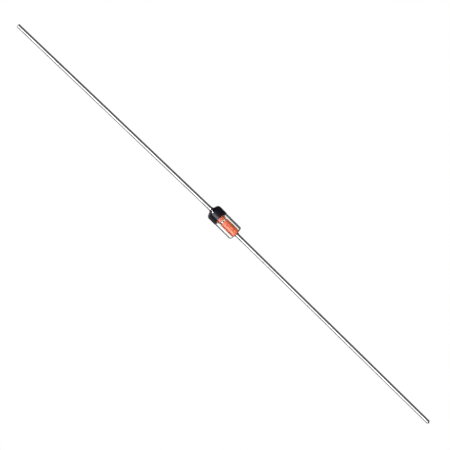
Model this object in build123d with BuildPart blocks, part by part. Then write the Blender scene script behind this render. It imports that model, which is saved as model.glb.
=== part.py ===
from build123d import *
import os
from math import cos, hypot, radians, sin

# Glass zener diode with two axial leads, lying along X with its cathode towards -X.
# Millimetres, +Z up. The origin is on the axis, halfway along the stack of slug, chip, contact and slug.

# Chip, and the raised contact on its anode side
chip_side = 0.38
chip_thickness = 0.13
contact_diameter = 0.22
contact_height = 0.03

# Slugs, whose faces reach past the chip's corners. Each stands a little proud of the glass
chip_clearance = 0.03
glass_neck_height = 0.03
cathode_slug_length = 1.72
anode_slug_length = 1.90
cathode_slug_proud = 0.09
anode_slug_proud = 0.02
slug_rim_chamfer = 0.02

# Glass sleeve, melted onto the slugs. Each end is domed, and falls away from the slug at once by
# the slope given
glass_diameter = 1.72
cathode_dome_height = 0.21
cathode_dome_slope_deg = 10
cathode_corner_radius = 0.36
anode_dome_height = 0.09
anode_dome_slope_deg = 5
anode_corner_radius = 0.23

# Black paint over the cathode end, to just short of the slug. Its edge leans, and is nearer the end on top
band_length = 1.29
band_edge_lean_deg = 7.3
paint_thickness = 0.03
paint_gap_at_slug = 0.03

# Leads, measured along the wire from the slug. A positive lean off the body's axis is towards +Y
lead_diameter = 0.45
cathode_lead_length = 28.55
anode_lead_length = 28.80
cathode_lead_lean_deg = -1.23
anode_lead_lean_deg = 0.40
cathode_tip_chamfer = 0.05
anode_tip_chamfer = 0.14

# Weld between lead and slug: a bead, then a flare that thins to the wire's own diameter
weld_bead_rise = 0.05
weld_bead_length = 0.14
weld_flare_rise = 0.02
weld_flare_length = 0.38

# A rounding takes at most this share of the wall or thickness that it is cut from
most_of_wall = 0.9
rim_share_of_paint = 0.5
rim_share_of_contact = 0.8

slug_radius = hypot(chip_side, chip_side) / 2 + chip_clearance + glass_neck_height
glass_radius = glass_diameter / 2
glass_wall = glass_radius - slug_radius
lead_radius = lead_diameter / 2

# Stations along the axis, from the cathode end of the stack to the anode end
stack_length = cathode_slug_length + chip_thickness + contact_height + anode_slug_length
stack_start = -stack_length / 2
chip_start = stack_start + cathode_slug_length
contact_start = chip_start + chip_thickness
anode_slug_start = contact_start + contact_height
stack_end = anode_slug_start + anode_slug_length
glass_start = stack_start + cathode_slug_proud
glass_end = stack_end - anode_slug_proud
band_end = glass_start + band_length


def slug(label, start, length):
    """A cylinder cut from copper-clad rod, with the edge taken off both rims."""
    with BuildPart() as made:
        with BuildSketch(Plane.YZ.offset(start)):
            Circle(slug_radius)
        extrude(amount=length)
        chamfer(made.edges().filter_by(GeomType.CIRCLE), length=slug_rim_chamfer)
    made.part.label = label
    return made.part


def lead(label, slug_face, outward, length, lean, tip_chamfer):
    """A wire and its weld, turned about the wire's axis and trimmed flush with the slug's face.

    outward is -1 at the cathode and 1 at the anode.
    """
    foot = (slug_face, 0, 0)
    along = (outward * cos(lean), sin(lean), 0)
    buried = lead_diameter * sin(abs(lean))
    bead_foot = (-buried, lead_radius + weld_bead_rise / 2)
    bead_top = (weld_bead_length / 2, lead_radius + weld_bead_rise)
    bead_edge = (weld_bead_length, lead_radius + weld_flare_rise)
    flare_end = (weld_bead_length + weld_flare_length, lead_radius)
    with BuildPart() as made:
        with BuildSketch(Plane(origin=foot, x_dir=along, z_dir=(0, 0, 1))):
            with BuildLine():
                Polyline(
                    flare_end,
                    (length - tip_chamfer, lead_radius),
                    (length, lead_radius - tip_chamfer),
                    (length, 0),
                    (-buried, 0),
                    bead_foot,
                )
                ThreePointArc(bead_foot, bead_top, bead_edge)
                TangentArc(flare_end, bead_edge, tangent=(-1, 0))
            make_face()
        revolve(axis=Axis(foot, along))
        split(bisect_by=Plane(origin=foot, z_dir=(outward, 0, 0)), keep=Keep.TOP)
    made.part.label = label
    return made.part


# Half section of the sleeve as if it were solid: domed end faces and fire-rounded corners
with BuildSketch() as glass_outline:
    anode_rim = (glass_end, slug_radius)
    anode_corner = (glass_end - anode_dome_height, glass_radius)
    anode_slope = radians(anode_dome_slope_deg)
    cathode_rim = (glass_start, slug_radius)
    cathode_corner = (glass_start + cathode_dome_height, glass_radius)
    cathode_slope = radians(cathode_dome_slope_deg)
    with BuildLine():
        Polyline(cathode_rim, (glass_start, 0), (glass_end, 0), anode_rim)
        TangentArc(anode_rim, anode_corner, tangent=(-sin(anode_slope), cos(anode_slope)))
        Line(anode_corner, cathode_corner)
        TangentArc(cathode_rim, cathode_corner, tangent=(sin(cathode_slope), cos(cathode_slope)))
    make_face()
    for end, corner_radius in ((0, cathode_corner_radius), (-1, anode_corner_radius)):
        outer_corners = glass_outline.vertices().group_by(Axis.Y)[-1].sort_by(Axis.X)
        fillet(outer_corners[end], radius=min(corner_radius, most_of_wall * glass_wall))

# The same outline with its coat of paint
with BuildSketch() as painted_outline:
    add(glass_outline.sketch)
    offset(amount=paint_thickness)

# Glass sleeve: its bore fits the slugs, and the wall necks in where it spans the gap between them
with BuildPart() as glass_sleeve:
    with BuildSketch(Plane.XZ):
        add(glass_outline.sketch)
        Rectangle(stack_length, slug_radius, align=(Align.CENTER, Align.MIN), mode=Mode.SUBTRACT)
        with BuildLine():
            Line((chip_start, slug_radius), (anode_slug_start, slug_radius))
            ThreePointArc(
                (chip_start, slug_radius),
                ((chip_start + anode_slug_start) / 2, slug_radius - glass_neck_height),
                (anode_slug_start, slug_radius),
            )
        make_face()
    revolve(axis=Axis.X)
glass_sleeve.part.label = "glass_sleeve"

# Cathode band: an even coat that follows the sleeve round its corner, with a soft edge
lean = radians(band_edge_lean_deg)
with BuildPart() as cathode_band:
    with BuildSketch(Plane.XZ):
        add(painted_outline.sketch)
        add(glass_outline.sketch, mode=Mode.SUBTRACT)
        with Locations((0, slug_radius + paint_gap_at_slug)):
            Rectangle(
                2 * stack_length,
                glass_diameter,
                align=(Align.CENTER, Align.MIN),
                mode=Mode.INTERSECT,
            )
    revolve(axis=Axis.X)
    split(bisect_by=Plane(origin=(band_end, 0, 0), z_dir=(cos(lean), 0, sin(lean))), keep=Keep.BOTTOM)
    cut_face = cathode_band.faces().filter_by(GeomType.PLANE).sort_by(Axis.X).last
    fillet(cut_face.edges().sort_by(Edge.length).last, radius=rim_share_of_paint * paint_thickness)
cathode_band.part.label = "cathode_band"

# Chip, standing on the cathode slug's inner face
with BuildPart() as silicon_die:
    with BuildSketch(Plane.YZ.offset(chip_start)):
        Rectangle(chip_side, chip_side)
    extrude(amount=chip_thickness)
silicon_die.part.label = "silicon_die"

# Contact: a plated button with a rounded rim, whose top meets the anode slug
with BuildPart() as contact_bump:
    with BuildSketch(Plane.YZ.offset(contact_start)):
        Circle(contact_diameter / 2)
    extrude(amount=contact_height)
    top_rim = contact_bump.edges().filter_by(GeomType.CIRCLE).sort_by(Axis.X).last
    fillet(top_rim, radius=rim_share_of_contact * contact_height)
contact_bump.part.label = "contact_bump"

pieces = [
    glass_sleeve.part,
    cathode_band.part,
    slug("cathode_slug", stack_start, cathode_slug_length),
    slug("anode_slug", anode_slug_start, anode_slug_length),
    silicon_die.part,
    contact_bump.part,
    lead(
        "cathode_lead",
        stack_start,
        -1,
        cathode_lead_length,
        radians(cathode_lead_lean_deg),
        cathode_tip_chamfer,
    ),
    lead(
        "anode_lead",
        stack_end,
        1,
        anode_lead_length,
        radians(anode_lead_lean_deg),
        anode_tip_chamfer,
    ),
]

os.makedirs("parts", exist_ok=True)
for piece in pieces:
    export_step(piece, f"parts/{piece.label}.step")
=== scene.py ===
"""Look of a small glass diode: a clear sleeve sealed onto two copper-clad slugs, each with a lead.

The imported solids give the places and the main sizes. Each class below makes one sub-assembly and
dresses it, and main() builds them in the order in which such a diode is put together. Sizes are in
millimetres, and angles in radians unless a name or comment says degrees, until a finished mesh
leaves its bmesh, which brings it to metres.
"""

import logging
from dataclasses import dataclass, field
from enum import Enum
from math import atan2, copysign, cos, hypot, pi, radians, sin, sqrt, tan

import bmesh
import bpy
from mathutils import Matrix, Vector, noise


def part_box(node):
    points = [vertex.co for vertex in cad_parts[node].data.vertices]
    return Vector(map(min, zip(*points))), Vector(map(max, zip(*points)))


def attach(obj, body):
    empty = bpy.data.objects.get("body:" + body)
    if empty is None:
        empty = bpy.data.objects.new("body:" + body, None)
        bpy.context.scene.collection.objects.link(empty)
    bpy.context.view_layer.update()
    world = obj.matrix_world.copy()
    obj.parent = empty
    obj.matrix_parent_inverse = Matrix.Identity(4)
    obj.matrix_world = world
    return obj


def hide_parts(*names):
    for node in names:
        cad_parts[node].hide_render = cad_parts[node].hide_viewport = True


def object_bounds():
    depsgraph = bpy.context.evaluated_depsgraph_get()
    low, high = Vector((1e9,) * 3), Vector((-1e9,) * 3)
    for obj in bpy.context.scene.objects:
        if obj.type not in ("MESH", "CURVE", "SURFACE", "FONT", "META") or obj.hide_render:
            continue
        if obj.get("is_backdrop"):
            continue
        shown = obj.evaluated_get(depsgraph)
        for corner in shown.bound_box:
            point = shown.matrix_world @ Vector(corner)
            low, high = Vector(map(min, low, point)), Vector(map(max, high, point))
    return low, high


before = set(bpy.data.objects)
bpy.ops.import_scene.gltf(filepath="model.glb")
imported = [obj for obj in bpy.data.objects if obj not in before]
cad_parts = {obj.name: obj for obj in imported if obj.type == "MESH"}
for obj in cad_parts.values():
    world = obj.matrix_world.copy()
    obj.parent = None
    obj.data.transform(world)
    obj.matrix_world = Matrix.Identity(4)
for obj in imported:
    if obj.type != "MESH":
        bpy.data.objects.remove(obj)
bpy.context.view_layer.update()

LOG = logging.getLogger("diode")
MM = 0.001
PER_MM = 1 / MM
BODY = "root"
MERGE_DISTANCE = 1e-5
SHARP_ANGLE = radians(32)

# Most of what a noise texture gives lies between these
NOISE_LOW = 0.3
NOISE_HIGH = 0.7

# Colours by the noise value that has them, and glows by degrees off the zenith towards +Y
Tones = tuple[tuple[float, str], ...]
Glows = tuple[tuple[float, float], ...]


class End(Enum):
    """The two ends of the diode, each with its direction along X."""

    CATHODE = -1
    ANODE = 1


def linear(code: str) -> tuple[float, float, float, float]:
    """Turns an sRGB colour into the linear one that shaders take.

    Args:
        code: The colour as six hex digits after a hash sign.

    Returns:
        Red, green, blue and an alpha of 1.
    """
    parts = [int(code[i : i + 2], 16) / 255 for i in (1, 3, 5)]
    red, green, blue = (p / 12.92 if p <= 0.04045 else ((p + 0.055) / 1.055) ** 2.4 for p in parts)
    return red, green, blue, 1.0


def add_node(
    tree: bpy.types.NodeTree, kind: str, settings: dict | None = None, links: dict | None = None
) -> bpy.types.Node:
    """Adds one node to a tree.

    Args:
        tree: The tree that gets the node.
        kind: The node's type, such as ShaderNodeTexNoise.
        settings: Values by the name of an input or of a property. A ramp takes its stops under
            "stops".
        links: The output that feeds each named input.

    Returns:
        The new node.
    """
    node = tree.nodes.new(kind)
    for name, value in (settings or {}).items():
        if name == "stops":
            ramp = node.color_ramp.elements
            ramp[0].position, ramp[0].color = value[0]
            ramp[1].position, ramp[1].color = value[-1]
            for place, colour in value[1:-1]:
                ramp.new(place).color = colour
        elif isinstance(name, int) or name in node.inputs:
            node.inputs[name].default_value = value
        else:
            setattr(node, name, value)
    for name, source in (links or {}).items():
        tree.links.new(source, node.inputs[name])
    return node


@dataclass(frozen=True)
class Finish:
    """What all finishes share: a name, tones, and a material with one principled shader."""

    name: str = "finish"
    tones: Tones = ()

    def start(
        self,
    ) -> tuple[bpy.types.Material, bpy.types.NodeTree, bpy.types.Node, bpy.types.NodeSocket]:
        """Makes the bare material.

        Returns:
            The material, its tree, its principled shader, and a coordinate in millimetres.
        """
        material = bpy.data.materials.new(self.name)
        material.use_nodes = True
        tree = material.node_tree
        shader = tree.nodes["Principled BSDF"]
        place = add_node(tree, "ShaderNodeTexCoord")
        scaled = add_node(
            tree,
            "ShaderNodeMapping",
            {"Scale": (PER_MM,) * 3},
            {"Vector": place.outputs["Object"]},
        )
        return material, tree, shader, scaled.outputs["Vector"]

    def stops(self) -> dict:
        """The finish's tones, as add_node takes them for a ramp."""
        return {"stops": [(value, linear(tone)) for value, tone in self.tones]}

    def build(self) -> bpy.types.Material:
        """Makes the whole material. Each finish has its own."""
        raise NotImplementedError


@dataclass(frozen=True)
class SealingGlass(Finish):
    """Lead sealing glass, drawn as tube and fire-polished as it was melted onto the slugs.

    The eye sees a clear lens that widens the slugs, with a surface that is smooth but never quite
    even.
    """

    name: str = "fire_polished_sealing_glass"
    tones: Tones = ((0.3, "#EDF6F0"), (0.7, "#FFFFFF"))
    ior: float = 1.56
    roughness: float = 0.015
    ripple_mm: float = 0.9
    ripple_height_mm: float = 0.00025

    def build(self) -> bpy.types.Material:
        """Makes the glass. Real ripples are about as wide as the sleeve's wall.

        Returns:
            The material.
        """
        material, tree, shader, place = self.start()
        waves = add_node(
            tree,
            "ShaderNodeTexNoise",
            {"Scale": 1 / self.ripple_mm, "Detail": 1.0},
            {"Vector": place},
        )
        tint = add_node(
            tree, "ShaderNodeValToRGB", self.stops(), {"Fac": waves.outputs["Fac"]}
        )
        bump = add_node(
            tree,
            "ShaderNodeBump",
            {"Strength": 1.0, "Distance": self.ripple_height_mm * MM},
            {"Height": waves.outputs["Fac"]},
        )
        tree.links.new(tint.outputs["Color"], shader.inputs["Base Color"])
        tree.links.new(bump.outputs["Normal"], shader.inputs["Normal"])
        shader.inputs["IOR"].default_value = self.ior
        shader.inputs["Roughness"].default_value = self.roughness
        shader.inputs["Transmission Weight"].default_value = 1.0
        return material


@dataclass(frozen=True)
class StovedPaint(Finish):
    """Black marking paint, rolled onto the turning sleeve and stoved.

    The eye sees a deep violet-black with a wet gloss, and a fine orange peel that breaks up its
    highlights.
    """

    name: str = "stoved_black_paint"
    tones: Tones = ((0.35, "#0E0916"), (0.7, "#181424"))
    ior: float = 1.5
    glossiest: float = 0.14
    dullest: float = 0.26
    peel_mm: float = 0.16
    peel_height_mm: float = 0.0022
    cloud_mm: float = 0.5

    def build(self) -> bpy.types.Material:
        """Makes the paint. Real orange peel is about 0.05 mm wide here, and is drawn coarser.

        Returns:
            The material.
        """
        material, tree, shader, place = self.start()
        peel = add_node(
            tree,
            "ShaderNodeTexNoise",
            {"Scale": 1 / self.peel_mm, "Detail": 3.0},
            {"Vector": place},
        )
        clouds = add_node(
            tree,
            "ShaderNodeTexNoise",
            {"Scale": 1 / self.cloud_mm, "Detail": 4.0},
            {"Vector": place},
        )
        colour = add_node(
            tree, "ShaderNodeValToRGB", self.stops(), {"Fac": clouds.outputs["Fac"]}
        )
        dulling = add_node(
            tree,
            "ShaderNodeMapRange",
            {
                "From Min": NOISE_LOW,
                "From Max": NOISE_HIGH,
                "To Min": self.glossiest,
                "To Max": self.dullest,
            },
            {"Value": clouds.outputs["Fac"]},
        )
        bump = add_node(
            tree,
            "ShaderNodeBump",
            {"Strength": 1.0, "Distance": self.peel_height_mm * MM},
            {"Height": peel.outputs["Fac"]},
        )
        tree.links.new(colour.outputs["Color"], shader.inputs["Base Color"])
        tree.links.new(dulling.outputs["Result"], shader.inputs["Roughness"])
        tree.links.new(bump.outputs["Normal"], shader.inputs["Normal"])
        shader.inputs["IOR"].default_value = self.ior
        return material


@dataclass(frozen=True)
class BoratedCopper(Finish):
    """The copper skin of a slug, drawn, oxidised and borated so that glass wets it.

    The eye sees bright salmon to brick red, with lines along the slug from drawing and a mottle
    from the oxide. The skin is glassy, so it mirrors only in part. Past the seal, where no glass
    covered it from the flame, it is darkened: partly real scorch, and partly painted shade that
    stands for the shading round the weld.
    """

    name: str = "borated_copper"
    tones: Tones = ((0.36, "#CE482C"), (0.5, "#F06C40"), (0.66, "#FF9A6A"))
    metallic: float = 0.38
    smoothest: float = 0.46
    roughest: float = 0.60
    line_mm: float = 0.07
    line_length_mm: float = 1.6
    line_height_mm: float = 0.0002
    mottle_mm: float = 0.22
    # Painted shade: a dark tone past each seal, partly real scorch and partly the shading round the
    # weld painted into the colour
    scorch_and_shade: str = "#4A1410"
    seal_ends_mm: tuple[float, float] = (-1.79, 1.86)
    scorch_and_shade_fade_mm: float = 0.03

    def build(self) -> bpy.types.Material:
        """Makes the copper. Real drawing lines are about 0.01 mm wide, and are drawn coarser.

        Returns:
            The material.
        """
        material, tree, shader, place = self.start()
        stretched = add_node(
            tree,
            "ShaderNodeMapping",
            {"Scale": (self.line_mm / self.line_length_mm, 1, 1)},
            {"Vector": place},
        )
        lines = add_node(
            tree,
            "ShaderNodeTexNoise",
            {"Scale": 1 / self.line_mm, "Detail": 2.0},
            {"Vector": stretched.outputs["Vector"]},
        )
        mottle = add_node(
            tree,
            "ShaderNodeTexNoise",
            {"Scale": 1 / self.mottle_mm, "Detail": 5.0, "Roughness": 0.6},
            {"Vector": place},
        )
        total = add_node(
            tree,
            "ShaderNodeMath",
            {"operation": "ADD"},
            {0: lines.outputs["Fac"], 1: mottle.outputs["Fac"]},
        )
        mean = add_node(
            tree, "ShaderNodeMath", {"operation": "MULTIPLY", 1: 0.5}, {0: total.outputs["Value"]}
        )
        colour = add_node(
            tree, "ShaderNodeValToRGB", self.stops(), {"Fac": mean.outputs["Value"]}
        )
        dulling = add_node(
            tree,
            "ShaderNodeMapRange",
            {
                "From Min": NOISE_LOW,
                "From Max": NOISE_HIGH,
                "To Min": self.smoothest,
                "To Max": self.roughest,
            },
            {"Value": mottle.outputs["Fac"]},
        )
        bump = add_node(
            tree,
            "ShaderNodeBump",
            {"Strength": 1.0, "Distance": self.line_height_mm * MM},
            {"Height": mean.outputs["Value"]},
        )
        along = add_node(tree, "ShaderNodeSeparateXYZ", {}, {"Vector": place})
        tone = colour.outputs["Color"]
        # Past each seal the colour fades to the dark tone: painted shade round the weld, with some
        # real scorch
        for end in self.seal_ends_mm:
            bare = add_node(
                tree,
                "ShaderNodeMapRange",
                {"From Min": end, "From Max": end + copysign(self.scorch_and_shade_fade_mm, end)},
                {"Value": along.outputs["X"]},
            )
            mixed = add_node(
                tree,
                "ShaderNodeMixRGB",
                {"Color2": linear(self.scorch_and_shade)},
                {"Fac": bare.outputs["Result"], "Color1": tone},
            )
            tone = mixed.outputs["Color"]
        tree.links.new(tone, shader.inputs["Base Color"])
        tree.links.new(dulling.outputs["Result"], shader.inputs["Roughness"])
        tree.links.new(bump.outputs["Normal"], shader.inputs["Normal"])
        shader.inputs["Metallic"].default_value = self.metallic
        return material


@dataclass(frozen=True)
class TinnedWire(Finish):
    """Copper-clad steel wire, drawn and then tinned.

    The eye sees a bright white metal with a faint frost, and fine lines along the wire.
    """

    name: str = "tinned_drawn_wire"
    tones: Tones = ((0.3, "#C4C2BE"), (0.6, "#E9E7E3"))
    smoothest: float = 0.10
    roughest: float = 0.22
    line_mm: float = 0.06
    line_length_mm: float = 3.0
    line_height_mm: float = 0.0008
    frost_mm: float = 0.35

    def build(self) -> bpy.types.Material:
        """Makes the tin. Real drawing lines are about 0.01 mm wide, and are drawn coarser.

        Returns:
            The material.
        """
        material, tree, shader, place = self.start()
        stretched = add_node(
            tree,
            "ShaderNodeMapping",
            {"Scale": (self.line_mm / self.line_length_mm, 1, 1)},
            {"Vector": place},
        )
        lines = add_node(
            tree,
            "ShaderNodeTexNoise",
            {"Scale": 1 / self.line_mm, "Detail": 2.0},
            {"Vector": stretched.outputs["Vector"]},
        )
        frost = add_node(
            tree,
            "ShaderNodeTexNoise",
            {"Scale": 1 / self.frost_mm, "Detail": 6.0, "Roughness": 0.65},
            {"Vector": place},
        )
        colour = add_node(
            tree, "ShaderNodeValToRGB", self.stops(), {"Fac": frost.outputs["Fac"]}
        )
        dulling = add_node(
            tree,
            "ShaderNodeMapRange",
            {
                "From Min": NOISE_LOW,
                "From Max": NOISE_HIGH,
                "To Min": self.roughest,
                "To Max": self.smoothest,
            },
            {"Value": frost.outputs["Fac"]},
        )
        bump = add_node(
            tree,
            "ShaderNodeBump",
            {"Strength": 1.0, "Distance": self.line_height_mm * MM},
            {"Height": lines.outputs["Fac"]},
        )
        tree.links.new(colour.outputs["Color"], shader.inputs["Base Color"])
        tree.links.new(dulling.outputs["Result"], shader.inputs["Roughness"])
        tree.links.new(bump.outputs["Normal"], shader.inputs["Normal"])
        shader.inputs["Metallic"].default_value = 1.0
        return material


@dataclass(frozen=True)
class SawnSilicon(Finish):
    """A silicon chip with sawn edges and a silvered back.

    The eye sees a thin silver-grey line, matt from the saw, with saw marks across it.
    """

    name: str = "sawn_silicon"
    tones: Tones = ((0.3, "#8E9496"), (0.7, "#C9CFCF"))
    metallic: float = 0.8
    roughness: float = 0.38
    mark_mm: float = 0.02
    mark_height_mm: float = 0.0008

    def build(self) -> bpy.types.Material:
        """Makes the silicon. Real saw marks are about 0.003 mm wide, and are drawn coarser.

        Returns:
            The material.
        """
        material, tree, shader, place = self.start()
        marks = add_node(
            tree,
            "ShaderNodeTexNoise",
            {"Scale": 1 / self.mark_mm, "Detail": 2.0},
            {"Vector": place},
        )
        colour = add_node(
            tree, "ShaderNodeValToRGB", self.stops(), {"Fac": marks.outputs["Fac"]}
        )
        bump = add_node(
            tree,
            "ShaderNodeBump",
            {"Strength": 1.0, "Distance": self.mark_height_mm * MM},
            {"Height": marks.outputs["Fac"]},
        )
        tree.links.new(colour.outputs["Color"], shader.inputs["Base Color"])
        tree.links.new(bump.outputs["Normal"], shader.inputs["Normal"])
        shader.inputs["Metallic"].default_value = self.metallic
        shader.inputs["Roughness"].default_value = self.roughness
        return material


@dataclass(frozen=True)
class PlatedSilver(Finish):
    """The plated silver button on the chip.

    The eye sees a matt white metal with a grain like fine sand.
    """

    name: str = "plated_silver"
    tones: Tones = ((0.35, "#D6D2C8"), (0.65, "#F3F1EA"))
    roughness: float = 0.35
    grain_mm: float = 0.012
    grain_height_mm: float = 0.001

    def build(self) -> bpy.types.Material:
        """Makes the silver. Its grain is at the size that such plating has.

        Returns:
            The material.
        """
        material, tree, shader, place = self.start()
        grain = add_node(
            tree,
            "ShaderNodeTexNoise",
            {"Scale": 1 / self.grain_mm, "Detail": 2.0},
            {"Vector": place},
        )
        colour = add_node(
            tree, "ShaderNodeValToRGB", self.stops(), {"Fac": grain.outputs["Fac"]}
        )
        bump = add_node(
            tree,
            "ShaderNodeBump",
            {"Strength": 1.0, "Distance": self.grain_height_mm * MM},
            {"Height": grain.outputs["Fac"]},
        )
        tree.links.new(colour.outputs["Color"], shader.inputs["Base Color"])
        tree.links.new(bump.outputs["Normal"], shader.inputs["Normal"])
        shader.inputs["Metallic"].default_value = 1.0
        shader.inputs["Roughness"].default_value = self.roughness
        return material


@dataclass(frozen=True)
class StagePaper(Finish):
    """Matt paper for the stage, which can glow by itself, evenly or by angle."""

    name: str = "stage_paper"
    glow: float = 0.0
    glow_by_angle: Glows = ()

    def build(self) -> bpy.types.Material:
        """Makes the paper. A glow by angle is told round X, from -180 to 180 degrees.

        Returns:
            The material.
        """
        material, tree, shader, place = self.start()
        shader.inputs["Base Color"].default_value = linear("#000000")
        shader.inputs["Specular IOR Level"].default_value = 0.0
        shader.inputs["Emission Color"].default_value = linear("#FFFFFF")
        shader.inputs["Emission Strength"].default_value = self.glow
        material.cycles.emission_sampling = "NONE"
        if self.glow_by_angle:
            along = add_node(tree, "ShaderNodeSeparateXYZ", {}, {"Vector": place})
            angle = add_node(
                tree,
                "ShaderNodeMath",
                {"operation": "ARCTAN2"},
                {0: along.outputs["Y"], 1: along.outputs["Z"]},
            )
            share = add_node(
                tree,
                "ShaderNodeMapRange",
                {"From Min": -pi, "From Max": pi},
                {"Value": angle.outputs["Value"]},
            )
            stops = [
                (degrees / 360 + 0.5, (glow, glow, glow, 1.0))
                for degrees, glow in self.glow_by_angle
            ]
            strength = add_node(
                tree, "ShaderNodeValToRGB", {"stops": stops}, {"Fac": share.outputs["Result"]}
            )
            tree.links.new(strength.outputs["Color"], shader.inputs["Emission Strength"])
        return material


class Profile:
    """A turned piece's half section in the XY plane, with X along the axis and Y as radius."""

    def __init__(self, x: float, radius: float) -> None:
        """Starts the chain of edges at one point.

        Args:
            x: The point's place along the axis.
            radius: The point's radius.
        """
        self.mesh = bmesh.new()
        self.first = self.mesh.verts.new((x, radius, 0))
        self.last = self.first

    def line_to(self, x: float, radius: float, cuts: int = 0) -> "Profile":
        """Draws a straight line.

        Args:
            x: The end's place along the axis.
            radius: The end's radius.
            cuts: How many points divide the line.

        Returns:
            The profile itself.
        """
        step = (Vector((x, radius, 0)) - self.last.co) / (cuts + 1)
        for _ in range(cuts + 1):
            self.last = bmesh.ops.extrude_vert_indiv(self.mesh, verts=[self.last])["verts"][0]
            bmesh.ops.translate(self.mesh, vec=step, verts=[self.last])
        return self

    def arc_to(self, centre: tuple[float, float], x: float, radius: float, steps: int) -> "Profile":
        """Turns the last point about a centre, the short way round, until it reaches an end.

        Args:
            centre: The arc's centre, along the axis and in radius.
            x: The end's place along the axis.
            radius: The end's radius.
            steps: How many edges the arc has.

        Returns:
            The profile itself.
        """
        start = self.last.co
        from_angle = atan2(start.y - centre[1], start.x - centre[0])
        to_angle = atan2(radius - centre[1], x - centre[0])
        spun = bmesh.ops.spin(
            self.mesh,
            geom=[self.last],
            cent=(*centre, 0),
            axis=(0, 0, 1),
            angle=(to_angle - from_angle + pi) % (2 * pi) - pi,
            steps=steps,
        )
        self.last = next(item for item in spun["geom_last"] if isinstance(item, bmesh.types.BMVert))
        return self

    def turn(self, steps: int) -> bmesh.types.BMesh:
        """Closes the chain if it doesn't end on the axis, and spins it into a solid.

        Args:
            steps: How many flats the full turn has.

        Returns:
            The closed mesh, with its faces outward.
        """
        if self.first.co.y > 0:
            self.mesh.edges.new((self.last, self.first))
        bmesh.ops.spin(
            self.mesh,
            geom=self.mesh.verts[:] + self.mesh.edges[:],
            cent=(0, 0, 0),
            axis=(1, 0, 0),
            angle=2 * pi,
            steps=steps,
            use_merge=True,
        )
        bmesh.ops.remove_doubles(self.mesh, verts=self.mesh.verts[:], dist=MERGE_DISTANCE)
        bmesh.ops.recalc_face_normals(self.mesh, faces=self.mesh.faces[:])
        return self.mesh


def leave_bmesh(
    mesh: bmesh.types.BMesh, name: str, material: bpy.types.Material
) -> bpy.types.Object:
    """Brings a bmesh to metres and makes it an object at the origin.

    Args:
        mesh: The finished bmesh, in millimetres, which is freed.
        name: The object's name.
        material: Its first material.

    Returns:
        The object, linked to the scene.
    """
    bmesh.ops.scale(mesh, vec=(MM,) * 3, verts=mesh.verts[:])
    data = bpy.data.meshes.new(name)
    mesh.to_mesh(data)
    mesh.free()
    data.shade_smooth()
    data.set_sharp_from_angle(angle=SHARP_ANGLE)
    data.materials.append(material)
    made = bpy.data.objects.new(name, data)
    bpy.context.scene.collection.objects.link(made)
    return made


def dress(
    mesh: bmesh.types.BMesh, name: str, node: str, material: bpy.types.Material
) -> bpy.types.Object:
    """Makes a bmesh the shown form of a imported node.

    Args:
        mesh: The finished bmesh, in millimetres.
        name: The piece's name.
        node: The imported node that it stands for.
        material: Its material.

    Returns:
        The piece.
    """
    piece = leave_bmesh(mesh, name, material)
    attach(piece, BODY)
    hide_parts(node)
    LOG.info("%s stands for %s with %d faces", name, node, len(piece.data.polygons))
    return piece


@dataclass(frozen=True)
class Span:
    """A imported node's reach along the axis, and its radius, in millimetres."""

    start: float
    end: float
    radius: float

    @classmethod
    def of(cls, node: str) -> "Span":
        """Reads the span from the frame.

        Args:
            node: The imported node's name.

        Returns:
            Its span. The radius is the largest reach across the axis.
        """
        low, high = (corner * PER_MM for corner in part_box(node))
        return cls(low.x, high.x, max(high.y, high.z))


@dataclass
class Slug:
    """A length of copper-clad rod, sealed into one end of the sleeve."""

    end: End
    material: bpy.types.Material
    rim_radius: float = 0.02
    rim_steps: int = 4
    face_cuts: int = 3
    side_cuts: int = 11
    flats: int = 128

    def build(self) -> bpy.types.Object:
        """Turns the slug, with both rims tumbled round.

        Returns:
            The piece.
        """
        node = f"{self.end.name.lower()}_slug"
        span = Span.of(node)
        rim, radius = self.rim_radius, span.radius
        profile = Profile(span.start, 0)
        profile.line_to(span.start, radius - rim, self.face_cuts)
        profile.arc_to((span.start + rim, radius - rim), span.start + rim, radius, self.rim_steps)
        profile.line_to(span.end - rim, radius, self.side_cuts)
        profile.arc_to((span.end - rim, radius - rim), span.end, radius - rim, self.rim_steps)
        profile.line_to(span.end, 0, self.face_cuts)
        mesh = profile.turn(self.flats)
        return dress(mesh, f"{node}_rod", node, self.material)


@dataclass
class Chip:
    """The silicon chip on the cathode slug, and the silver button that meets the anode slug."""

    silicon: bpy.types.Material
    silver: bpy.types.Material
    edge_radius: float = 0.004
    edge_steps: int = 2
    button_rim: float = 0.024
    rim_steps: int = 6
    face_cuts: int = 2
    flats: int = 64

    def build_die(self) -> bpy.types.Object:
        """Saws the chip: a block whose edges the saw has broken a little.

        Returns:
            The piece.
        """
        low, high = (corner * PER_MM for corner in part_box("silicon_die"))
        mesh = bmesh.new()
        bmesh.ops.create_cube(mesh, size=1)
        bmesh.ops.scale(mesh, vec=high - low, verts=mesh.verts[:])
        bmesh.ops.translate(mesh, vec=(low + high) / 2, verts=mesh.verts[:])
        bmesh.ops.bevel(
            mesh,
            geom=mesh.edges[:],
            offset=self.edge_radius,
            affect="EDGES",
            segments=self.edge_steps,
            profile=0.5,
            material=-1,
        )
        return dress(mesh, "silicon_chip", "silicon_die", self.silicon)

    def build_button(self) -> bpy.types.Object:
        """Turns the button, with a rounded rim where it meets the slug.

        Returns:
            The piece.
        """
        span = Span.of("contact_bump")
        rim, radius = self.button_rim, span.radius
        profile = Profile(span.start, 0)
        profile.line_to(span.start, radius, self.face_cuts)
        profile.line_to(span.end - rim, radius)
        profile.arc_to((span.end - rim, radius - rim), span.end, radius - rim, self.rim_steps)
        profile.line_to(span.end, 0, self.face_cuts)
        mesh = profile.turn(self.flats)
        return dress(mesh, "silver_button", "contact_bump", self.silver)


@dataclass(frozen=True)
class MeltedEnd:
    """One end of the sleeve: a dome that falls away from the slug, and a fire-rounded corner."""

    dome_height: float
    dome_slope: float
    corner_radius: float


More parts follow.
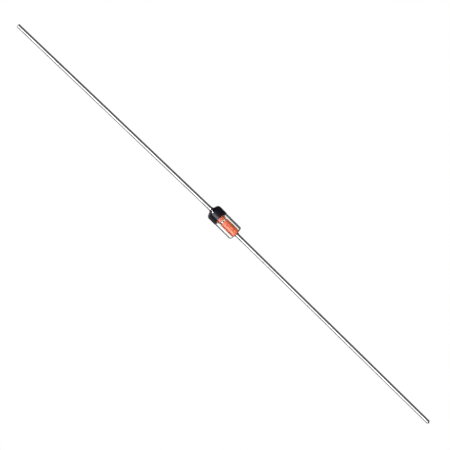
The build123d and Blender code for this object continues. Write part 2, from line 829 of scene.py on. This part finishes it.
def melted_ends() -> dict[End, MeltedEnd]:
    """The forms of both ends. The cathode's is drawn down further than the anode's."""
    return {
        End.CATHODE: MeltedEnd(dome_height=0.21, dome_slope=radians(10), corner_radius=0.36),
        End.ANODE: MeltedEnd(dome_height=0.09, dome_slope=radians(5), corner_radius=0.23),
    }


@dataclass
class Sleeve:
    """The glass tube, melted onto the slugs, and the paint on its cathode end.

    The glass reaches a few thousandths of a millimetre into the slugs, and the paint into the
    glass, so that no two surfaces lie in one place.
    """

    glass: bpy.types.Material
    paint: bpy.types.Material
    ends: dict[End, MeltedEnd] = field(default_factory=melted_ends)
    neck_height: float = 0.03
    bite: float = 0.004
    paint_thickness: float = 0.03
    paint_gap_at_slug: float = 0.03
    band_length: float = 1.29
    band_lean: float = radians(7.3)
    band_edge_radius: float = 0.013
    band_edge_steps: int = 3
    band_edge_wander: float = 0.012
    band_edge_wave: float = 0.35
    dome_steps: int = 14
    corner_steps: int = 20
    neck_steps: int = 12
    tube_cuts: int = 15
    bore_cuts: int = 7
    band_cuts: int = 23
    flats: int = 192
    span: Span = field(init=False)
    bore: float = field(init=False)

    def __post_init__(self) -> None:
        """Reads the sleeve's reach and the slugs' radius from the frame."""
        self.span = Span.of("glass_sleeve")
        self.bore = Span.of("cathode_slug").radius

    def dome(self, end: End) -> tuple[tuple[float, float], float]:
        """The arc of a domed end face, which leaves the slug with that end's slope.

        Args:
            end: Which end of the sleeve.

        Returns:
            The arc's centre, along the axis and in radius, and the arc's own radius.
        """
        height, slope = self.ends[end].dome_height, self.ends[end].dome_slope
        wall = self.span.radius - self.bore
        fall = height * cos(slope) - wall * sin(slope)
        radius = (height**2 + wall**2) / (2 * fall)
        face = self.span.start if end is End.CATHODE else self.span.end
        centre = (face - end.value * radius * cos(slope), self.bore - radius * sin(slope))
        return centre, radius

    def corner_centre(self, end: End) -> tuple[float, float]:
        """The centre of a fire-rounded corner, which runs on from the dome and from the tube.

        Args:
            end: Which end of the sleeve.

        Returns:
            Its place along the axis, and its radius.
        """
        centre, radius = self.dome(end)
        height = self.span.radius - self.ends[end].corner_radius
        inner = radius - self.ends[end].corner_radius
        return centre[0] + end.value * sqrt(inner**2 - (height - centre[1]) ** 2), height

    def dome_point(self, end: End, lift: float, radius: float) -> tuple[float, float]:
        """The point of an end face at a given radius.

        Args:
            end: Which end of the sleeve.
            lift: How far the surface lies outside the glass.
            radius: The point's radius.

        Returns:
            Its place along the axis, and its radius.
        """
        centre, dome_radius = self.dome(end)
        reach = sqrt((dome_radius + lift) ** 2 - (radius - centre[1]) ** 2)
        return centre[0] + end.value * reach, radius

    def draw_out(self, profile: Profile, end: End, lift: float) -> None:
        """Draws one end's dome and corner, from the last point out to the tube.

        Args:
            profile: The profile that gets the two arcs.
            end: Which end of the sleeve.
            lift: How far the drawn surface lies outside the glass.
        """
        corner = self.corner_centre(end)
        joint = self.joint(end, lift)
        profile.arc_to(self.dome(end)[0], joint.x, joint.y, self.dome_steps)
        profile.arc_to(corner, corner[0], self.span.radius + lift, self.corner_steps)

    def draw_in(self, profile: Profile, end: End, lift: float, radius: float) -> None:
        """Draws one end's corner and dome, from the tube in to a given radius.

        Args:
            profile: The profile that gets the two arcs.
            end: Which end of the sleeve.
            lift: How far the drawn surface lies outside the glass.
            radius: Where the dome ends.
        """
        joint = self.joint(end, lift)
        last = self.dome_point(end, lift, radius)
        profile.arc_to(self.corner_centre(end), joint.x, joint.y, self.corner_steps)
        profile.arc_to(self.dome(end)[0], *last, self.dome_steps)

    def joint(self, end: End, lift: float) -> Vector:
        """The point where a dome runs on into its corner.

        Args:
            end: Which end of the sleeve.
            lift: How far the surface lies outside the glass.

        Returns:
            Its place along the axis, and its radius.
        """
        centre, radius = self.dome(end)
        away = Vector(self.corner_centre(end)) - Vector(centre)
        return Vector(centre) + away.normalized() * (radius + lift)

    def build_glass(self) -> bpy.types.Object:
        """Turns the sleeve, which necks in between the slugs.

        Returns:
            The piece.
        """
        neck_start = Span.of("silicon_die").start
        neck_end = Span.of("contact_bump").end
        middle = (neck_start + neck_end) / 2
        half = (neck_end - neck_start) / 2
        neck_radius = (half**2 + self.neck_height**2) / (2 * self.neck_height)
        neck_centre = (middle, self.bore - self.bite - self.neck_height + neck_radius)
        inner = self.bore - self.bite
        profile = Profile(self.span.start, inner)
        profile.line_to(self.span.start, self.bore)
        self.draw_out(profile, End.CATHODE, 0)
        profile.line_to(self.corner_centre(End.ANODE)[0], self.span.radius, self.tube_cuts)
        self.draw_in(profile, End.ANODE, 0, self.bore)
        profile.line_to(self.span.end, inner)
        profile.line_to(neck_end, inner, self.bore_cuts)
        profile.arc_to(neck_centre, neck_start, inner, self.neck_steps)
        mesh = profile.turn(self.flats)
        return dress(mesh, "clear_sleeve", "glass_sleeve", self.glass)

    def build_band(self) -> bpy.types.Object:
        """Turns the coat of paint past its end, cuts it on a lean and softens the edge.

        Returns:
            The piece.
        """
        past = self.span.start + self.band_length + 2 * self.span.radius * tan(self.band_lean)
        edge_radius = self.bore + self.paint_gap_at_slug
        profile = Profile(*self.dome_point(End.CATHODE, -self.bite, edge_radius))
        profile.line_to(*self.dome_point(End.CATHODE, self.paint_thickness, edge_radius))
        self.draw_out(profile, End.CATHODE, self.paint_thickness)
        profile.line_to(past, self.span.radius + self.paint_thickness, self.band_cuts)
        inner = self.span.radius - self.bite
        profile.line_to(past, inner)
        profile.line_to(self.corner_centre(End.CATHODE)[0], inner, self.band_cuts)
        self.draw_in(profile, End.CATHODE, -self.bite, edge_radius)
        mesh = profile.turn(self.flats)
        self.cut_band(mesh)
        return dress(mesh, "paint_band", "cathode_band", self.paint)

    def cut_band(self, mesh: bmesh.types.BMesh) -> None:
        """Cuts the turned coat off at its leaning edge, and rounds that edge.

        Args:
            mesh: The turned coat, in millimetres.
        """
        origin = Vector((self.span.start + self.band_length, 0, 0))
        normal = Vector((cos(self.band_lean), 0, sin(self.band_lean)))
        cut = bmesh.ops.bisect_plane(
            mesh,
            geom=mesh.verts[:] + mesh.edges[:] + mesh.faces[:],
            dist=MERGE_DISTANCE,
            plane_co=origin,
            plane_no=normal,
            clear_outer=True,
        )
        rims = [edge for edge in cut["geom_cut"] if isinstance(edge, bmesh.types.BMEdge)]
        bmesh.ops.bridge_loops(mesh, edges=rims)
        mid_wall = self.span.radius + self.paint_thickness / 2
        outer = [edge for edge in rims if all(hypot(v.co.y, v.co.z) > mid_wall for v in edge.verts)]
        bmesh.ops.bevel(
            mesh,
            geom=outer,
            offset=self.band_edge_radius,
            affect="EDGES",
            segments=self.band_edge_steps,
            profile=0.5,
            material=-1,
        )
        bmesh.ops.recalc_face_normals(mesh, faces=mesh.faces[:])
        for vert in mesh.verts:
            behind = abs((vert.co - origin).dot(normal))
            if behind < self.band_edge_wave:
                share = 1 - behind / self.band_edge_wave
                where = Vector((0, vert.co.y, vert.co.z)) / self.band_edge_wave
                vert.co.x += share * self.band_edge_wander * noise.noise(where)


@dataclass
class Lead:
    """A drawn wire, butt-welded to its slug. A positive lean off the body's axis is towards +Y."""

    end: End
    material: bpy.types.Material
    lean: float
    tip_chamfer: float
    wire_radius: float = 0.225
    bead_rise: float = 0.05
    bead_length: float = 0.14
    bead_roughness: float = 0.006
    bead_steps: int = 6
    flare_rise: float = 0.02
    flare_length: float = 0.38
    flare_steps: int = 10
    sink: float = 0.004
    foot_cuts: int = 2
    bead_cuts: int = 3
    wire_cuts: int = 47
    chamfer_cuts: int = 2
    tip_cuts: int = 4
    flats: int = 72

    def build(self) -> bpy.types.Object:
        """Turns the weld and the wire along X, and leans them into place.

        Returns:
            The piece.
        """
        node = f"{self.end.name.lower()}_lead"
        slug = Span.of(f"{self.end.name.lower()}_slug")
        reach = Span.of(node)
        face = slug.start if self.end is End.CATHODE else slug.end
        tip = reach.start if self.end is End.CATHODE else reach.end
        rim_reach = (self.wire_radius - self.tip_chamfer) * sin(abs(self.lean))
        mesh = self.turn_wire((abs(tip - face) - rim_reach) / cos(self.lean))
        along = Vector((self.end.value * cos(self.lean), sin(self.lean), 0))
        across = Vector((0, 0, 1)).cross(along)
        place = Matrix((along, across, (0, 0, 1))).transposed().to_4x4()
        place.translation = (face, 0, 0)
        bmesh.ops.transform(mesh, matrix=place, verts=mesh.verts[:])
        self.trim_foot(mesh, face)
        return dress(mesh, f"{node}_wire", node, self.material)

    def turn_wire(self, length: float) -> bmesh.types.BMesh:
        """Turns the weld bead, its flare and the wire.

        Args:
            length: From the slug's face to the wire's cut end, along the wire.

        Returns:
            The mesh, with its axis along X from the slug's face.
        """
        radius = self.wire_radius
        top = radius + self.bead_rise
        foot_drop = self.bead_rise / 2
        half = self.bead_length / 2
        bead_radius = (half**2 + foot_drop**2) / (2 * foot_drop)
        edge = radius + self.flare_rise
        flare_radius = (self.flare_length**2 + self.flare_rise**2) / (2 * self.flare_rise)
        flare_end = self.bead_length + self.flare_length
        bead_centre = (half, top - bead_radius)
        profile = Profile(-self.bead_length, 0)
        profile.line_to(-self.bead_length, radius, self.foot_cuts)
        profile.line_to(0, top - foot_drop, self.bead_cuts)
        profile.arc_to(bead_centre, half, top, self.bead_steps)
        profile.arc_to(bead_centre, self.bead_length, top - foot_drop, self.bead_steps)
        profile.line_to(self.bead_length, edge)
        profile.arc_to((flare_end, radius + flare_radius), flare_end, radius, self.flare_steps)
        profile.line_to(length - self.tip_chamfer, radius, self.wire_cuts)
        profile.line_to(length, radius - self.tip_chamfer, self.chamfer_cuts)
        profile.line_to(length, 0, self.tip_cuts)
        mesh = profile.turn(self.flats)
        for vert in mesh.verts:
            if vert.co.x < flare_end:
                share = 1 - max(vert.co.x, 0) / flare_end
                unevenness = noise.noise(vert.co / self.bead_length)
                vert.co += vert.normal * share * self.bead_roughness * unevenness
        return mesh

    def trim_foot(self, mesh: bmesh.types.BMesh, face: float) -> None:
        """Cuts the foot off just inside the slug's face and closes it.

        Args:
            mesh: The lead in its place, in millimetres.
            face: The slug's face along the axis.
        """
        cut = bmesh.ops.bisect_plane(
            mesh,
            geom=mesh.verts[:] + mesh.edges[:] + mesh.faces[:],
            dist=MERGE_DISTANCE,
            plane_co=(face - self.end.value * self.sink, 0, 0),
            plane_no=(self.end.value, 0, 0),
            clear_inner=True,
        )
        rim = [edge for edge in cut["geom_cut"] if isinstance(edge, bmesh.types.BMEdge)]
        bmesh.ops.contextual_create(mesh, geom=rim)
        bmesh.ops.recalc_face_normals(mesh, faces=mesh.faces[:])


class Ray(Enum):
    """How a thing on the stage is seen, by the name of the switch for it."""

    STRAIGHT = "visible_camera"
    SCATTERED = "visible_diffuse"
    MIRRORED = "visible_glossy"
    THROUGH_GLASS = "visible_transmission"


@dataclass(frozen=True)
class Tunnel:
    """A tunnel round the diode. Its glow goes by angle, and so may that of its end walls."""

    name: str
    radius: float
    length: float
    seen_by: tuple[Ray, ...]
    glow_by_angle: Glows
    end_glow_by_angle: Glows = ()


@dataclass(frozen=True)
class Lamp:
    """A flat softbox that faces the diode.

    It hangs at two angles in degrees from straight above, towards +X and towards +Y. Its size is
    width and height, and its radiance is how bright its face is, where the sky is about 1.
    """

    name: str
    off_zenith: tuple[float, float]
    size: tuple[float, float]
    radiance: float


@dataclass
class Studio:
    """The ground, tunnels, cards, lamps and camera. None of them is part of the diode.

    The camera sees a white ground alone. Metal, paint and glass see two tunnels instead, bright and
    dark by turns, which draw the outlines of bright wire and clear glass as dark lines. A white
    card beside each lead and two lamps add the highlights.
    """

    frame_width: float = 48.10
    lens: float = 200
    sensor: float = 36
    aim: tuple[float, float] = (0.313, -0.145)
    roll: float = radians(44.8)
    clip_ratio: float = 100
    ground_size: float = 2400
    sky: str = "#FFFFFF"
    sky_strength: float = 1.0
    lamp_distance: float = 200
    lamp_colour: str = "#EFF3FF"
    lamps: tuple[Lamp, ...] = (
        Lamp("strip_softbox", (0, -26), (600, 110), 2.9),
        Lamp("small_softbox", (-60, -21), (44, 66), 130.0),
    )
    tunnel_flats: int = 120
    end_glow: float = 0.02
    card_size: tuple[float, float] = (31, 9)
    card_middle: tuple[float, float, float] = (18.5, -6, -6)
    tunnels: tuple[Tunnel, ...] = (
        Tunnel(
            "mirrored_tunnel",
            220,
            700,
            (Ray.MIRRORED, Ray.SCATTERED),
            (
                (-180, 0.04), (-130, 0.04), (-120, 0.4), (-92, 0.5), (-80, 0.16), (-52, 0.16),
                (-42, 0.9), (-28, 0.9), (-4, 0.85), (4, 0.40), (32, 0.25), (42, 0.13),
                (110, 0.11), (140, 0.04), (180, 0.04),
            ),
        ),
        Tunnel(
            "through_glass_tunnel",
            230,
            250,
            (Ray.THROUGH_GLASS,),
            (
                (-180, 1.0), (-146, 1.0), (-140, 0.0), (-80, 0.0), (-76, 2.8), (-60, 4.4),
                (-24, 4.6), (-17, 1.2), (13, 1.0), (20, 3.8), (38, 3.6), (60, 1.8),
                (68, 1.2), (72, 0.0), (128, 0.0), (132, 1.0), (180, 1.0),
            ),
            ((-180, 0.02), (-110, 0.02), (-90, 0.8), (90, 0.8), (110, 0.02), (180, 0.02)),
        ),
    )

    def build(self) -> None:
        """Sets up the whole stage."""
        bpy.context.scene.view_settings.view_transform = "Standard"
        self.lay_ground()
        self.light_sky()
        for tunnel in self.tunnels:
            self.raise_tunnel(tunnel)
        for end in End:
            self.lay_card(end)
        for lamp in self.lamps:
            self.hang_lamp(lamp)
        self.set_camera()

    def show_to(self, piece: bpy.types.Object, seen_by: tuple[Ray, ...]) -> None:
        """Puts a piece on the stage, for some rays alone.

        Args:
            piece: The ground, a wall or a card.
            seen_by: The rays that see it.
        """
        for ray in Ray:
            setattr(piece, ray.value, ray in seen_by)
        piece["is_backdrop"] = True

    def lay_ground(self) -> None:
        """Lays a white ground just under the diode's lowest point."""
        mesh = bmesh.new()
        bmesh.ops.create_grid(mesh, x_segments=1, y_segments=1, size=self.ground_size / 2)
        bmesh.ops.translate(mesh, vec=(0, 0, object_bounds()[0].z * PER_MM), verts=mesh.verts[:])
        ground = leave_bmesh(mesh, "white_ground", StagePaper("white_ground", glow=1.0).build())
        self.show_to(ground, (Ray.STRAIGHT,))

    def lay_card(self, end: End) -> None:
        """Lays a white card beside and below one lead, which mirrors it along its edge.

        Args:
            end: Which lead.
        """
        # A grid's size is half of its side, so this one starts as a square with sides of 1
        mesh = bmesh.new()
        bmesh.ops.create_grid(mesh, x_segments=1, y_segments=1, size=0.5)
        bmesh.ops.scale(mesh, vec=(*self.card_size, 1), verts=mesh.verts[:])
        x, y, z = self.card_middle
        bmesh.ops.translate(mesh, vec=(end.value * x, y, z), verts=mesh.verts[:])
        name = f"{end.name.lower()}_lead_card"
        self.show_to(leave_bmesh(mesh, name, StagePaper(name, glow=1.0).build()), (Ray.MIRRORED,))

    def light_sky(self) -> None:
        """Gives the world one even pale colour."""
        world = bpy.data.worlds.new("pale_room")
        world.use_nodes = True
        shade = world.node_tree.nodes["Background"]
        shade.inputs["Color"].default_value = linear(self.sky)
        shade.inputs["Strength"].default_value = self.sky_strength
        bpy.context.scene.world = world

    def raise_tunnel(self, tunnel: Tunnel) -> None:
        """Raises a tunnel along X round the diode, with a wall across each end.

        Args:
            tunnel: Its size, its glow and the rays that see it.
        """
        mesh = bmesh.new()
        bmesh.ops.create_cone(
            mesh,
            segments=self.tunnel_flats,
            radius1=tunnel.radius,
            radius2=tunnel.radius,
            depth=tunnel.length,
        )
        lie_down = Matrix.Rotation(pi / 2, 4, "Y")
        bmesh.ops.transform(mesh, matrix=lie_down, verts=mesh.verts[:])
        paper = StagePaper(tunnel.name, glow_by_angle=tunnel.glow_by_angle)
        self.show_to(leave_bmesh(mesh, tunnel.name, paper.build()), tunnel.seen_by)
        for end in End:
            mesh = bmesh.new()
            bmesh.ops.create_circle(
                mesh, cap_ends=True, segments=self.tunnel_flats, radius=tunnel.radius
            )
            place = Matrix.Translation((end.value * tunnel.length / 2, 0, 0)) @ lie_down
            bmesh.ops.transform(mesh, matrix=place, verts=mesh.verts[:])
            name = f"{tunnel.name}_{end.name.lower()}_end"
            paper = StagePaper(name, glow=self.end_glow, glow_by_angle=tunnel.end_glow_by_angle)
            self.show_to(leave_bmesh(mesh, name, paper.build()), tunnel.seen_by)

    def hang_lamp(self, lamp: Lamp) -> None:
        """Hangs a softbox, which only diffuse and glossy surfaces see.

        Args:
            lamp: The lamp's place, size and radiance.
        """
        towards_x, towards_y = (tan(radians(angle)) for angle in lamp.off_zenith)
        direction = Vector((towards_x, towards_y, 1)).normalized()
        width, height = (side * MM for side in lamp.size)
        data = bpy.data.lights.new(lamp.name, "AREA")
        data.shape = "RECTANGLE"
        data.size, data.size_y = width, height
        data.energy = lamp.radiance * pi * width * height
        data.color = linear(self.lamp_colour)[:3]
        hung = bpy.data.objects.new(lamp.name, data)
        hung.location = direction * self.lamp_distance * MM
        hung.rotation_mode = "QUATERNION"
        hung.rotation_quaternion = (-direction).to_track_quat("-Z", "Y")
        hung.visible_camera = hung.visible_transmission = False
        bpy.context.scene.collection.objects.link(hung)

    def set_camera(self) -> None:
        """Looks straight down, turned so that the leads run from upper left to lower right."""
        data = bpy.data.cameras.new("camera")
        data.lens = self.lens
        data.sensor_width = self.sensor
        distance = self.frame_width * self.lens / self.sensor * MM
        data.clip_start = distance / self.clip_ratio
        data.clip_end = distance * self.clip_ratio
        camera = bpy.data.objects.new("camera", data)
        camera.location = (self.aim[0] * MM, self.aim[1] * MM, distance)
        camera.rotation_euler = (0, 0, self.roll)
        bpy.context.scene.collection.objects.link(camera)
        bpy.context.scene.camera = camera


def main() -> None:
    """Builds the diode as it is assembled, and then the stage."""
    logging.basicConfig(level=logging.INFO, format="%(name)s: %(message)s")
    copper = BoratedCopper().build()
    tin = TinnedWire().build()
    Slug(End.CATHODE, copper).build()
    chip = Chip(SawnSilicon().build(), PlatedSilver().build())
    chip.build_die()
    chip.build_button()
    Slug(End.ANODE, copper).build()
    sleeve = Sleeve(SealingGlass().build(), StovedPaint().build())
    sleeve.build_glass()
    Lead(End.CATHODE, tin, lean=radians(-1.23), tip_chamfer=0.05).build()
    Lead(End.ANODE, tin, lean=radians(0.40), tip_chamfer=0.14).build()
    sleeve.build_band()
    Studio().build()


if __name__ == "__main__":
    main()
